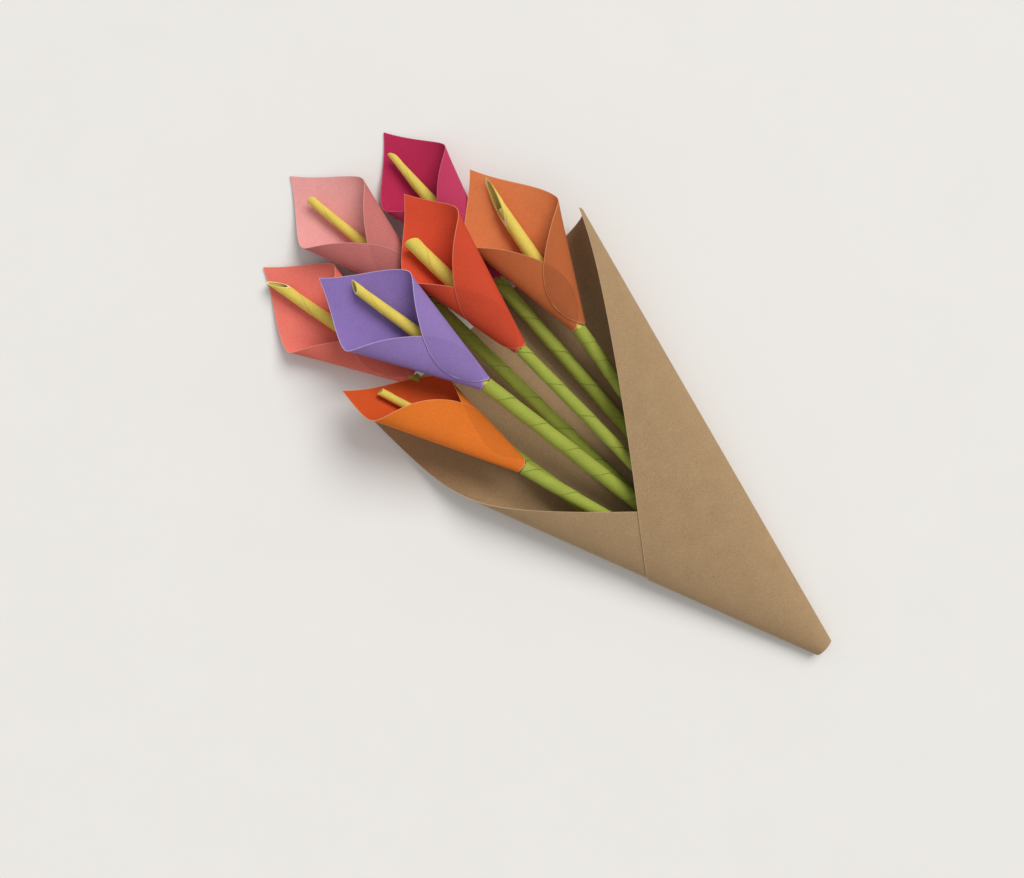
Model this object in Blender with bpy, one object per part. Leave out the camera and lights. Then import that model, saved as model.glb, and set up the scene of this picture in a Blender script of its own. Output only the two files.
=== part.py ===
"""Paper flower bouquet: seven rolled paper calla lilies lying in a kraft paper cone.

Metres, +Z up. The cone lies on its back, its tip towards -Y and the flowers towards +Y.
Each flower is a heart-shaped sheet (spathe), a yellow rolled tube (spadix) and a green rolled
tube (stem). The spathe and the spadix are modelled along +Y from the flower's foot at the origin,
and the stem along -Y, then all three are placed by parenting to the flower's empty.
"""

import math
from dataclasses import dataclass

import bmesh
import bpy
import numpy as np
from mathutils import Vector

# Paper
PAPER = 0.0004
CLEARANCE = 0.0003
LAYER_STEP = PAPER + CLEARANCE

# Heart-shaped sheet of a spathe, measured in the flat
HEART_LENGTH = 0.121
HEART_WIDTH = 0.084
HEART_TIP_HALF_ANGLE = math.radians(43)
HEART_TIP_REACH = 0.044
HEART_SIDE_REACH = 0.036
HEART_WIDEST_FROM_TIP = 0.084
HEART_LOBE_REACH = 0.024
HEART_LOBE_ROUND = 0.012
HEART_LOBE_FROM_AXIS = 0.010
HEART_CLEFT = 0.004
OUTLINE_SAMPLES = 120
SPATHE_COLUMNS = 35
SPATHE_ROWS = 3

# Spadix: its foot is held in the stem, and its waist in the foot of the spathe
SPADIX_FOOT_RADIUS = 0.0022
SPADIX_WAIST_RADIUS = 0.0027
SPADIX_FOOT_LENGTH = 0.014
SPADIX_WALL = 0.0009
SPADIX_BELLY_SHARE = 0.35
SPADIX_SEAM_PITCH = 0.045
SPADIX_SAG = 0.8

# Foot of the spathe, rolled round the spadix's waist
FOOT_RADIUS = SPADIX_WAIST_RADIUS + LAYER_STEP + CLEARANCE
FOOT_FLAT_TURNS = 0.1

# Stem, with room in its bore for the spadix's foot to lean
NECK_GAP = 0.0010
STEM_RADIUS = 0.0043
FOOT_LEAN_ROOM = 0.0011
STEM_BORE_RADIUS = SPADIX_FOOT_RADIUS + FOOT_LEAN_ROOM

# Rolled tubes: a hand of 1 winds towards +X as the seam's top side runs to the flower, -1 towards -X
ROLL_LIP = 0.0004
ROLL_SIDES = 12
SPADIX_HAND = 1
STEM_HAND = -1

# Kraft sheet of the wrap, measured in the flat
KRAFT_LENGTH = 0.297
KRAFT_LEFT_HALF = (0.110, 0.110)
KRAFT_RIGHT_HALF = (0.122, 0.098)
TIP_ROOM = 0.0008
TIP_RADIUS = STEM_RADIUS + LAYER_STEP + PAPER / 2 + TIP_ROOM
MOUTH_HALF_WIDTH = 0.101
MOUTH_HEIGHT = 0.052
MOUTH_SIDE_HEIGHT = 0.022
MOUTH_FLAT_HALF_WIDTH = 0.055
MOUTH_LOWER_ROUND = (0.86, 0.35)
MOUTH_UPPER_ROUND = (0.85, 0.55)
WRAP_TURN = 20.0
WRAP_BACK_TURNS = 0.08
WRAP_FLAP_TURNS = 1.0 - 2.0 * WRAP_BACK_TURNS
WRAP_FLAT_TURNS = 0.2
WRAP_COLUMNS = 84
WRAP_ROWS = 1

GREEN = (0.30, 0.40, 0.05)
YELLOW = (0.75, 0.58, 0.12)
KRAFT = (0.36, 0.24, 0.14)


@dataclass(frozen=True)
class Flower:
    """One calla lily: its place in the bouquet, the roll of its sheet and its two tubes."""

    name: str
    colour: tuple
    foot: tuple
    heading: float
    pitch: float
    mouth_half_width: float
    mouth_depth: float
    turn: float
    roll: float
    over: int
    spadix_length: float
    spadix_tip_radius: float
    spadix_belly_radius: float
    spadix_cut: float
    spadix_cut_side: float
    spadix_lean: float
    stem_heading: float
    stem_pitch: float
    stem_length: float
    stem_seam_turns: float
    stem_radius: float = STEM_RADIUS


FLOWERS = (
    Flower(
        name="magenta", colour=(0.45, 0.02, 0.09), foot=(0.0335, 0.3028, 0.0121), heading=8.0, pitch=1.91,
        mouth_half_width=0.0270, mouth_depth=0.0120, turn=12, roll=0, over=1,
        spadix_length=0.1040, spadix_tip_radius=0.0022, spadix_belly_radius=0.0058, spadix_cut=60,
        spadix_cut_side=20, spadix_lean=0,
        stem_heading=6.8, stem_pitch=1.91, stem_length=0.190, stem_seam_turns=7,
    ),
    Flower(
        name="pink", colour=(0.80, 0.37, 0.35), foot=(-0.0035, 0.3263, 0.0131), heading=-0.2, pitch=2.18,
        mouth_half_width=0.0286, mouth_depth=0.0130, turn=0, roll=0, over=-1,
        spadix_length=0.0985, spadix_tip_radius=0.0028, spadix_belly_radius=0.0040, spadix_cut=35,
        spadix_cut_side=160, spadix_lean=-1.5,
        stem_heading=2.0, stem_pitch=2.18, stem_length=0.193, stem_seam_turns=7,
    ),
    Flower(
        name="light_orange", colour=(0.83, 0.33, 0.12), foot=(0.0439, 0.2453, 0.0238),
        heading=15.9, pitch=4.48,
        mouth_half_width=0.0330, mouth_depth=0.0112, turn=-8, roll=0, over=1,
        spadix_length=0.1040, spadix_tip_radius=0.0036, spadix_belly_radius=0.0054, spadix_cut=65,
        spadix_cut_side=-20, spadix_lean=-1.0,
        stem_heading=12.5, stem_pitch=4.48, stem_length=0.185, stem_seam_turns=14,
    ),
    Flower(
        name="salmon", colour=(0.80, 0.16, 0.10), foot=(-0.0467, 0.3014, 0.0123), heading=-8.1, pitch=0.78,
        mouth_half_width=0.0320, mouth_depth=0.0104, turn=11, roll=0, over=1,
        spadix_length=0.1050, spadix_tip_radius=0.0036, spadix_belly_radius=0.0041, spadix_cut=65,
        spadix_cut_side=60, spadix_lean=1.0,
        stem_heading=-5.0, stem_pitch=0.78, stem_length=0.214, stem_seam_turns=8,
    ),
    Flower(
        name="orange", colour=(0.75, 0.18, 0.03), foot=(-0.0416, 0.2139, 0.0262), heading=-8.4, pitch=5.26,
        mouth_half_width=0.0275, mouth_depth=0.0120, turn=-35, roll=35, over=-1,
        spadix_length=0.1000, spadix_tip_radius=0.0026, spadix_belly_radius=0.0030, spadix_cut=15,
        spadix_cut_side=0, spadix_lean=-3.5,
        stem_heading=-11.2, stem_pitch=5.26, stem_length=0.218, stem_seam_turns=8,
    ),
    Flower(
        name="coral", colour=(0.60, 0.07, 0.03), foot=(0.0104, 0.2631, 0.0316), heading=6.3, pitch=5.14,
        mouth_half_width=0.0250, mouth_depth=0.0140, turn=22, roll=0, over=1,
        spadix_length=0.0940, spadix_tip_radius=0.0046, spadix_belly_radius=0.0050, spadix_cut=30,
        spadix_cut_side=150, spadix_lean=-3.8,
        stem_heading=3.3, stem_pitch=5.14, stem_length=0.188, stem_seam_turns=7,
        stem_radius=0.0040,
    ),
    Flower(
        name="purple", colour=(0.28, 0.18, 0.50), foot=(-0.0193, 0.2646, 0.0339), heading=-7.5, pitch=8.38,
        mouth_half_width=0.0310, mouth_depth=0.0112, turn=-8, roll=0, over=1,
        spadix_length=0.1000, spadix_tip_radius=0.0031, spadix_belly_radius=0.0044, spadix_cut=50,
        spadix_cut_side=-60, spadix_lean=2.0,
        stem_heading=-4.1, stem_pitch=8.38, stem_length=0.157, stem_seam_turns=6.3,
        stem_radius=0.0048,
    ),
)


def clear_scene():
    """Remove every object of the scene."""
    for scene_object in list(bpy.data.objects):
        bpy.data.objects.remove(scene_object, do_unlink=True)


def paper_material(name, colour, roughness=0.85):
    """Return a matt paper material of one colour."""
    material = bpy.data.materials.new(name)
    material.use_nodes = True
    shader = material.node_tree.nodes["Principled BSDF"]
    shader.inputs["Base Color"].default_value = (*colour, 1.0)
    shader.inputs["Roughness"].default_value = roughness
    shader.inputs["Metallic"].default_value = 0.0
    return material


def add_object(name, mesh, material, parent=None):
    """Link a mesh as a named, smooth-shaded object, under a parent if one is given."""
    mesh.shade_smooth()
    mesh.set_sharp_from_angle(angle=math.radians(40))
    mesh.materials.append(material)
    made = bpy.data.objects.new(name, mesh)
    bpy.context.scene.collection.objects.link(made)
    made.parent = parent
    return made


def add_empty(name, location, heading, pitch, roll, parent):
    """Add an empty, rolled about its +Y axis, which points along a heading (towards +X) and a pitch (up)."""
    empty = bpy.data.objects.new(name, None)
    bpy.context.scene.collection.objects.link(empty)
    empty.location = location
    empty.rotation_mode = "YXZ"
    empty.rotation_euler = (math.radians(pitch), math.radians(roll), -math.radians(heading))
    empty.parent = parent
    return empty


# Rolled sheets


def bezier(start, first, second, end, count):
    """Return points of a cubic Bezier curve."""
    s = np.linspace(0.0, 1.0, count)[:, None]
    corners = [np.asarray(p, float) for p in (start, first, second, end)]
    weights = ((1 - s) ** 3, 3 * s * (1 - s) ** 2, 3 * s**2 * (1 - s), s**3)
    return sum(weight * corner for weight, corner in zip(weights, corners))


def heart_half_outline():
    """Return half the heart, from its tip at (0, 0) round one lobe to the cleft: (from tip, from axis)."""
    half = HEART_WIDTH / 2
    tip_handle = (
        HEART_TIP_REACH * math.cos(HEART_TIP_HALF_ANGLE),
        HEART_TIP_REACH * math.sin(HEART_TIP_HALF_ANGLE),
    )
    widest = (HEART_WIDEST_FROM_TIP, half)
    lobe_end = (HEART_LENGTH, HEART_LOBE_FROM_AXIS)
    side = bezier(
        (0, 0), tip_handle, (widest[0] - HEART_SIDE_REACH, half), widest, OUTLINE_SAMPLES
    )
    lobe = bezier(
        widest,
        (widest[0] + HEART_LOBE_REACH, half),
        (HEART_LENGTH, HEART_LOBE_FROM_AXIS + 2 * HEART_LOBE_ROUND),
        lobe_end,
        OUTLINE_SAMPLES,
    )
    return np.concatenate([side, lobe[1:], [(HEART_LENGTH - HEART_CLEFT, 0.0)]])


def by_arc_length(curve):
    """Return a function from turns (0 to 1, repeating) to points of a closed curve, evenly by length."""
    closed = np.concatenate([curve, curve[:1]])
    steps = np.linalg.norm(np.diff(closed, axis=0), axis=1)
    along = np.concatenate([[0.0], np.cumsum(steps)])

    def point(turns):
        wanted = np.mod(turns, 1.0) * along[-1]
        return np.stack([np.interp(wanted, along, closed[:, i]) for i in range(2)], axis=-1)

    return point, along[-1]


def ellipse(half_width, half_height):
    """Return an ellipse as points (x, z), from the lowest point towards +X."""
    angle = np.linspace(0.0, 2 * math.pi, 240, endpoint=False)
    return np.stack([half_width * np.sin(angle), -half_height * np.cos(angle)], axis=-1)


def outward(section, turns):
    """Return the section's unit normals, pointing out of it, at the given turns."""
    step = 0.004
    along = section(turns + step) - section(turns - step)
    normal = np.stack([along[:, 1], -along[:, 0]], axis=-1)
    return normal / np.linalg.norm(normal, axis=1)[:, None]


def layer_offset(turns, over, flat_turns):
    """Return how far each part of a rolled sheet lies outside the middle layer.

    Two parts one whole turn apart always lie LAYER_STEP apart. The flap on the side given by
    over (1 for +X) is the outer one, and the sheet's middle, flat_turns each way, isn't moved.
    """
    ramp = np.clip((np.abs(turns) - flat_turns) / (1.0 - 2.0 * flat_turns), 0.0, None)
    return over * np.sign(turns) * LAYER_STEP * np.minimum(ramp, 1.0)


def sheet_mesh(name, grid):
    """Return a mesh of the grid's points [column][row]; repeated points become one."""
    mesh = bpy.data.meshes.new(name)
    bm = bmesh.new()
    columns, rows = grid.shape[:2]
    vertices = [[bm.verts.new(point) for point in column] for column in grid]
    for i in range(columns - 1):
        for j in range(rows - 1):
            bm.faces.new(
                (vertices[i][j], vertices[i + 1][j], vertices[i + 1][j + 1], vertices[i][j + 1])
            )
    bmesh.ops.remove_doubles(bm, verts=bm.verts, dist=1e-6)
    bmesh.ops.dissolve_degenerate(bm, edges=bm.edges, dist=1e-6)
    bmesh.ops.recalc_face_normals(bm, faces=bm.faces)
    bm.to_mesh(mesh)
    bm.free()
    return mesh


def thicken(sheet):
    """Give a sheet object its paper thickness, half of it on each side."""
    solid = sheet.modifiers.new("paper thickness", "SOLIDIFY")
    solid.thickness = PAPER
    solid.offset = 0.0
    solid.use_rim = True


def ruled_point(foot_section, mouth_section, mouth_distance, turns, from_foot):
    """Return points on straight rulings from the foot section to the mouth section.

    The foot section lies at y = 0 and the mouth section at y = mouth_distance. from_foot is
    measured along each ruling.
    """
    foot = foot_section(turns)
    mouth = mouth_section(turns)
    start = np.stack([foot[:, 0], np.zeros(len(foot)), foot[:, 1]], axis=-1)
    end = np.stack([mouth[:, 0], np.full(len(foot), mouth_distance), mouth[:, 1]], axis=-1)
    direction = end - start
    direction /= np.linalg.norm(direction, axis=1)[:, None]
    return start[:, None, :] + from_foot[:, :, None] * direction[:, None, :]


def polar_extent(outline, apex_to_tip):
    """Return (widest angle, inner radius, outer radius) of half a heart seen from the cone's apex."""
    x = apex_to_tip - outline[:, 0]
    y = outline[:, 1]
    radius = np.hypot(x, y)
    angle = np.arctan2(y, x)
    widest = int(np.argmax(angle))

    def outer(wanted):
        return np.interp(wanted, angle[: widest + 1], radius[: widest + 1])

    def inner(wanted):
        return np.interp(wanted, angle[widest:][::-1], radius[widest:][::-1])

    return angle[widest], inner, outer


def spathe_grid(flower, columns=SPATHE_COLUMNS, rows=SPATHE_ROWS):
    """Return the rolled heart's points [column][row], the flower's foot at the origin."""
    foot_section, foot_girth = by_arc_length(ellipse(FOOT_RADIUS, FOOT_RADIUS))
    mouth_distance = HEART_WIDEST_FROM_TIP
    mouth_section, mouth_girth = by_arc_length(
        ellipse(flower.mouth_half_width, flower.mouth_depth)
    )
    rolled_angle = (mouth_girth - foot_girth) / mouth_distance
    foot_from_apex = foot_girth / rolled_angle
    widest, inner, outer = polar_extent(
        heart_half_outline(), foot_from_apex + HEART_LENGTH
    )
    angle = widest * np.sin(np.linspace(-math.pi / 2, math.pi / 2, columns))
    angle = 0.5 * (angle + widest * np.linspace(-1.0, 1.0, columns))
    near, far = inner(np.abs(angle)), outer(np.abs(angle))
    share = np.linspace(0.0, 1.0, rows + 1)
    radius = near[:, None] + (far - near)[:, None] * share
    sheet_turns = angle / rolled_angle
    turns = sheet_turns + flower.turn / 360.0
    points = ruled_point(
        foot_section, mouth_section, mouth_distance, turns, radius - foot_from_apex
    )
    lift = layer_offset(sheet_turns, flower.over, FOOT_FLAT_TURNS)
    normal = outward(mouth_section, turns) * lift[:, None]
    points[:, :, 0] += normal[:, None, 0]
    points[:, :, 2] += normal[:, None, 1]
    return points


# Rolled tubes


def slice_off(bm, point, normal):
    """Cut away the part of an open mesh that lies beyond a plane."""
    everything = list(bm.verts) + list(bm.edges) + list(bm.faces)
    bmesh.ops.bisect_plane(
        bm, geom=everything, dist=1e-7, plane_co=point, plane_no=normal, clear_outer=True
    )


def close_end(bm, point, normal):
    """Fill the ring between the outer and the inner rim that lie in a plane."""
    rim = [
        edge
        for edge in bm.edges
        if edge.is_boundary
        and all(abs((vert.co - point).dot(normal)) < 2e-6 for vert in edge.verts)
    ]
    bmesh.ops.triangle_fill(bm, use_beauty=True, use_dissolve=False, edges=rim, normal=normal)


def rolled_tube_mesh(name, start, end, radius, bore, hand, seam_turns, end_normal, spine, spans=1):
    """Return a closed tube of rolled paper along +Y.

    The paper winds up in overlapping turns: each turn's edge is a helical lip that stands
    ROLL_LIP above the turn under it. radius and bore are functions of y, spine gives the
    sideways shift of the tube's middle at y, and end_normal turns the cut at the far end.
    """
    pitch = (end - start) / seam_turns
    first = start - 1.5 * pitch
    beyond = 2.5 * pitch + 4 * radius(end) / max(0.2, end_normal[1])
    count = math.ceil((end + beyond - first) / pitch * ROLL_SIDES)
    bm = bmesh.new()

    def ring_point(index, y, size):
        angle = hand * math.tau * index / ROLL_SIDES
        return Vector((size * math.sin(angle), y, size * math.cos(angle)))

    lattice = []
    for index in range(count + 1):
        column = []
        for span in range(spans + 1):
            y = first + pitch * (index / ROLL_SIDES + span / spans)
            held = min(max(y, start), end)
            size = radius(held) - ROLL_LIP * span / spans
            column.append(bm.verts.new(ring_point(index, y, size)))
        lattice.append(column)
    for index in range(count):
        here, ahead = lattice[index], lattice[index + 1]
        for span in range(spans):
            bm.faces.new((here[span], ahead[span], ahead[span + 1], here[span + 1]))
        lip = index + ROLL_SIDES
        if lip < count:
            bm.faces.new((here[spans], ahead[spans], lattice[lip + 1][0], lattice[lip][0]))
    start_point, end_point = Vector((0, start, 0)), Vector((0, end, 0))
    start_normal, far_normal = Vector((0, -1, 0)), Vector(end_normal)
    slice_off(bm, start_point, start_normal)
    slice_off(bm, end_point, far_normal)

    rings = []
    for share in np.linspace(0.0, 1.0, spans + 1):
        ring = []
        for index in range(ROLL_SIDES):
            y = start + share * (end - start)
            ring.append(ring_point(index, y, bore(y)))
        rings.append(ring)
    for point in rings[-1]:
        point.y = end - (point.x * far_normal.x + point.z * far_normal.z) / far_normal.y
    inner = [[bm.verts.new(point) for point in ring] for ring in rings]
    for lower, upper in zip(inner, inner[1:]):
        for index in range(ROLL_SIDES):
            after = (index + 1) % ROLL_SIDES
            bm.faces.new((lower[index], upper[index], upper[after], lower[after]))
    close_end(bm, start_point, start_normal)
    close_end(bm, end_point, far_normal)
    bmesh.ops.recalc_face_normals(bm, faces=bm.faces)
    for vert in bm.verts:
        x, z = spine(vert.co.y)
        vert.co.x += x
        vert.co.z += z
    mesh = bpy.data.meshes.new(name)
    bm.to_mesh(mesh)
    bm.free()
    return mesh


def spadix_mesh(flower):
    """Return the yellow tube: a narrow foot inside the stem, a wider body and a slanted open end."""
    belly = SPADIX_BELLY_SHARE * flower.spadix_length
    stations = (-SPADIX_FOOT_LENGTH, 0.0, belly, flower.spadix_length)
    sizes = (
        SPADIX_FOOT_RADIUS,
        SPADIX_WAIST_RADIUS,
        flower.spadix_belly_radius,
        flower.spadix_tip_radius,
    )
    slope = (flower.mouth_depth - FOOT_RADIUS) / HEART_WIDEST_FROM_TIP
    lean = math.tan(math.radians(flower.spadix_lean))
    side = math.radians(flower.spadix_cut_side)
    cut = math.radians(flower.spadix_cut)
    normal = (math.sin(cut) * math.sin(side), math.cos(cut), math.sin(cut) * math.cos(side))

    def radius(y):
        return float(np.interp(y, stations, sizes))

    def bore(y):
        return radius(y) - SPADIX_WALL

    def spine(y):
        free = max(y, 0.0)
        room = slope * free - (radius(y) - SPADIX_WAIST_RADIUS)
        return lean * free, -max(0.0, SPADIX_SAG * room)

    turns = (flower.spadix_length + SPADIX_FOOT_LENGTH) / SPADIX_SEAM_PITCH
    return rolled_tube_mesh(
        flower.name + "_spadix",
        -SPADIX_FOOT_LENGTH,
        flower.spadix_length,
        radius,
        bore,
        SPADIX_HAND,
        turns,
        normal,
        spine,
        spans=3,
    )


def stem_mesh(flower):
    """Return the green tube, from just below the flower's foot to the stem's cut end."""
    return rolled_tube_mesh(
        flower.name + "_stem",
        -flower.stem_length,
        -NECK_GAP,
        lambda y: flower.stem_radius,
        lambda y: STEM_BORE_RADIUS,
        STEM_HAND,
        flower.stem_seam_turns,
        (0.0, 1.0, 0.0),
        lambda y: (0.0, 0.0),
    )


def build_flower(flower, bouquet, stem_material, spadix_material):
    """Build one flower's three pieces and place them."""
    head = add_empty(
        flower.name + "_head", flower.foot, flower.heading, flower.pitch, flower.roll, bouquet
    )
    tail = add_empty(
        flower.name + "_tail", flower.foot, flower.stem_heading, flower.stem_pitch, 0.0, bouquet
    )
    spathe_material = paper_material(flower.name + "_paper", flower.colour)
    name = flower.name + "_spathe"
    spathe = add_object(name, sheet_mesh(name, spathe_grid(flower)), spathe_material, head)
    thicken(spathe)
    add_object(flower.name + "_spadix", spadix_mesh(flower), spadix_material, head)
    add_object(flower.name + "_stem", stem_mesh(flower), stem_material, tail)


# Wrap


def mouth_outline():
    """Return the wrap's section at its mouth: flat on the table, rounded sides, an arched front."""
    flat, half, side, height = MOUTH_FLAT_HALF_WIDTH, MOUTH_HALF_WIDTH, MOUTH_SIDE_HEIGHT, MOUTH_HEIGHT
    across, up = MOUTH_LOWER_ROUND
    lower = bezier((flat, 0), (across * half, 0), (half, up * side), (half, side), OUTLINE_SAMPLES)
    up, across = MOUTH_UPPER_ROUND
    upper = bezier((half, side), (half, up * height), (across * half, height), (0, height), OUTLINE_SAMPLES)
    right = np.concatenate([[(0.0, 0.0)], lower, upper[1:]])
    left = right[1:-1][::-1] * (-1.0, 1.0)
    return np.concatenate([right, left])


def side_radius(angle, halves, near, far):
    """Return how far a ruling at an angle runs to the sheet's long edge, from the cone's apex.

    The edge is straight, at halves[0] from the middle line at distance near and halves[1] at far.
    """
    lean = (halves[1] - halves[0]) / (far - near)
    start = halves[0] - lean * near
    return start / (np.sin(angle) - lean * np.cos(angle))


def half_rulings(halves, near, far, first, limit, count):
    """Return (angles, lengths) of one half's rulings, from the flat back's edge, at first, outwards.

    The half ends at the sheet's long edge, or at the angle limit if it would pass under the back.
    """
    corner = math.atan2(halves[1], far)
    last = min(math.atan2(halves[0], near), limit)
    angle = np.linspace(first, last, count)
    angle[np.argmin(np.abs(angle - corner))] = corner
    steep = angle > corner
    length = far / np.cos(np.minimum(angle, corner))
    length[steep] = side_radius(angle[steep], halves, near, far)
    return angle, length


def wrap_grid(columns=WRAP_COLUMNS, rows=WRAP_ROWS):
    """Return the rolled kraft sheet's points [column][row]."""
    tip_outline = ellipse(TIP_RADIUS, TIP_RADIUS) + (0.0, TIP_RADIUS + LAYER_STEP)
    tip_section, tip_girth = by_arc_length(tip_outline)
    mouth_section, mouth_girth = by_arc_length(mouth_outline())
    rolled_angle = (mouth_girth - tip_girth) / KRAFT_LENGTH
    near = tip_girth / rolled_angle
    far = near + KRAFT_LENGTH
    shift = math.radians(WRAP_TURN) / math.tau * rolled_angle
    flat, end = WRAP_BACK_TURNS * rolled_angle, WRAP_FLAP_TURNS * rolled_angle
    count = columns // 2
    left_angle, left_length = half_rulings(KRAFT_LEFT_HALF, near, far, flat + shift, end + shift, count)
    right_angle, right_length = half_rulings(KRAFT_RIGHT_HALF, near, far, flat - shift, end - shift, count)
    angle = np.concatenate([-left_angle[::-1], right_angle])
    length = np.concatenate([left_length[::-1], right_length])
    turns = angle / rolled_angle + WRAP_TURN / 360.0
    sheet_turns = angle / rolled_angle
    from_foot = (length - near)[:, None] * np.linspace(0.0, 1.0, rows + 1)
    points = ruled_point(tip_section, mouth_section, KRAFT_LENGTH, turns, from_foot)
    lift = layer_offset(sheet_turns, 1, WRAP_FLAT_TURNS)
    normal = outward(mouth_section, turns) * lift[:, None]
    points[:, :, 0] += normal[:, None, 0]
    points[:, :, 2] += normal[:, None, 1]
    return points


def build_wrap(bouquet):
    """Build the kraft cone with its tip at the origin of the bouquet."""
    mesh = sheet_mesh("kraft_wrap", wrap_grid())
    wrap = add_object("kraft_wrap", mesh, paper_material("kraft_paper", KRAFT), bouquet)
    thicken(wrap)


def levelling_pitch():
    """Return the pitch, in degrees, that lays the wrap's flat back level on the table."""
    rise = LAYER_STEP + TIP_RADIUS * (1.0 - math.cos(math.tau * WRAP_BACK_TURNS))
    return math.degrees(math.atan(rise / KRAFT_LENGTH))


def rest_on_origin(bouquet):
    """Move the bouquet so that the middle of its bounding box's underside lies at the origin."""
    bpy.context.view_layer.update()
    graph = bpy.context.evaluated_depsgraph_get()
    points = []
    for made in bpy.data.objects:
        if made.type == "MESH":
            piece = made.evaluated_get(graph)
            points += [piece.matrix_world @ vertex.co for vertex in piece.data.vertices]
    low, high = np.min(points, axis=0), np.max(points, axis=0)
    bouquet.location = (-(low[0] + high[0]) / 2, -(low[1] + high[1]) / 2, -low[2])


def build_bouquet():
    """Build every piece."""
    clear_scene()
    bouquet = add_empty("bouquet", (0.0, 0.0, 0.0), 0.0, levelling_pitch(), 0.0, None)
    green = paper_material("green_paper", GREEN)
    yellow = paper_material("yellow_paper", YELLOW)
    build_wrap(bouquet)
    for flower in FLOWERS:
        build_flower(flower, bouquet, green, yellow)
    rest_on_origin(bouquet)


build_bouquet()
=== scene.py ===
"""Looks of a paper flower bouquet: rolled calla lilies in a kraft paper cone, on a pale table.

Metres, +Z up, in the part's own frame: +Y runs from the wrap's tip to the flowers. Every sheet is a
surface of straight rulings between a small section at its foot and a wide section at its mouth, and
every spadix and stem is a tube whose paper winds up in overlapping turns.
"""

from __future__ import annotations

import logging
import math
from dataclasses import dataclass, field
from enum import Enum
from typing import Callable

import bmesh
import bpy
import numpy as np
from mathutils import Euler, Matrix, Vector

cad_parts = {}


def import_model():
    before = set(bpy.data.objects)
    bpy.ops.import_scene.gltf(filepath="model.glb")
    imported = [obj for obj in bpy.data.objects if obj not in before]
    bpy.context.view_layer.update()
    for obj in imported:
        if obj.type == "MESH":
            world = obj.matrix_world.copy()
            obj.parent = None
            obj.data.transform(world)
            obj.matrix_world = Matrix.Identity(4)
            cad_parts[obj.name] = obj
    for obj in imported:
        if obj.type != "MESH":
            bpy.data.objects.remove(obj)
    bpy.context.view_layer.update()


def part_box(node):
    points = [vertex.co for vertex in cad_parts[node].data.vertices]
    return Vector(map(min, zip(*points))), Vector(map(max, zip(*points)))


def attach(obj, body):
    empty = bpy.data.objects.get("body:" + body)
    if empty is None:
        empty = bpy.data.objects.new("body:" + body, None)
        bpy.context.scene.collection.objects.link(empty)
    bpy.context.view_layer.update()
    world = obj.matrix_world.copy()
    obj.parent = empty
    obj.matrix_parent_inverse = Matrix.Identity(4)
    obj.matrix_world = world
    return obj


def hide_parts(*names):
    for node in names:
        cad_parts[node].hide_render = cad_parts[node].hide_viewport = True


LOG = logging.getLogger("bouquet")

Colour = tuple[float, float, float]
Array = np.ndarray

# Distance between two layers of one rolled sheet, and the sheets' own thickness
LAYER_STEP = 0.0007
CRAFT_THICKNESS = 0.00028
KRAFT_THICKNESS = 0.00032

# Points round an ellipse, the step in turns at which a section's normal is measured, the shortest
# normal that is divided by, and how far a point may lie from a plane that it counts as being in
ELLIPSE_POINTS = 480
NORMAL_STEP = 0.004
SHORTEST_NORMAL = 1e-12
PLANE_TOLERANCE = 3e-6
CUT_TOLERANCE = 1e-7

# Two faces that meet at more than this angle have a sharp edge between them
SHARP_ANGLE = math.radians(42)
NOISE_ROUGHNESS = 0.62

ROOT = "root"


class TopFlap(Enum):
    """Which side flap of a rolled sheet lies on top, seen from its foot."""

    RIGHT = 1
    LEFT = -1


class Winding(Enum):
    """The way a rolled tube's seam runs over its top towards the flower: to +X or to -X."""

    RIGHT = 1
    LEFT = -1


# Curves and small helpers


def smooth_step(low: float, high: float, value: Array) -> Array:
    """Return 0 below low, 1 above high and a smooth S between them.

    Args:
        low: Value where the step begins.
        high: Value where the step ends.
        value: Values to be mapped.

    Returns:
        The stepped values, each 3t^2 - 2t^3 of its share t of the way.
    """
    share = np.clip((value - low) / (high - low), 0.0, 1.0)
    return share * share * (3.0 - 2.0 * share)


def bezier(start: tuple, first: tuple, second: tuple, end: tuple, count: int) -> Array:
    """Return points of a cubic Bezier curve.

    Args:
        start: First end point.
        first: Handle of the first end.
        second: Handle of the second end.
        end: Second end point.
        count: Number of points.

    Returns:
        Points, weighted by the four cubic Bernstein polynomials.
    """
    s = np.linspace(0.0, 1.0, count)[:, None]
    corners = [np.asarray(p, float) for p in (start, first, second, end)]
    weights = ((1 - s) ** 3, 3 * s * (1 - s) ** 2, 3 * s**2 * (1 - s), s**3)
    return sum(weight * corner for weight, corner in zip(weights, corners))


def ellipse(half_width: float, half_height: float) -> Array:
    """Return an ellipse as points (x, z), from the lowest point towards +X."""
    angle = np.linspace(0.0, math.tau, ELLIPSE_POINTS, endpoint=False)
    return np.stack([half_width * np.sin(angle), -half_height * np.cos(angle)], axis=-1)


def write_attribute(mesh: bpy.types.Mesh, name: str, domain: str, values: Array) -> None:
    """Store one number for each point or corner of a mesh.

    Args:
        mesh: Mesh that takes the attribute.
        name: Name that the materials read.
        domain: "POINT" or "CORNER".
        values: The numbers, in the mesh's order.
    """
    attribute = mesh.attributes.new(name, "FLOAT", domain)
    attribute.data.foreach_set("value", np.ascontiguousarray(values, np.float32))


def face_values_to_corners(mesh: bpy.types.Mesh, values: Array) -> Array:
    """Repeat each face's value for each of its corners.

    Args:
        mesh: Mesh with the faces.
        values: One value for each face.

    Returns:
        One value for each corner, in the mesh's order.
    """
    totals = np.empty(len(mesh.polygons), np.int32)
    mesh.polygons.foreach_get("loop_total", totals)
    return np.repeat(values, totals)


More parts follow.
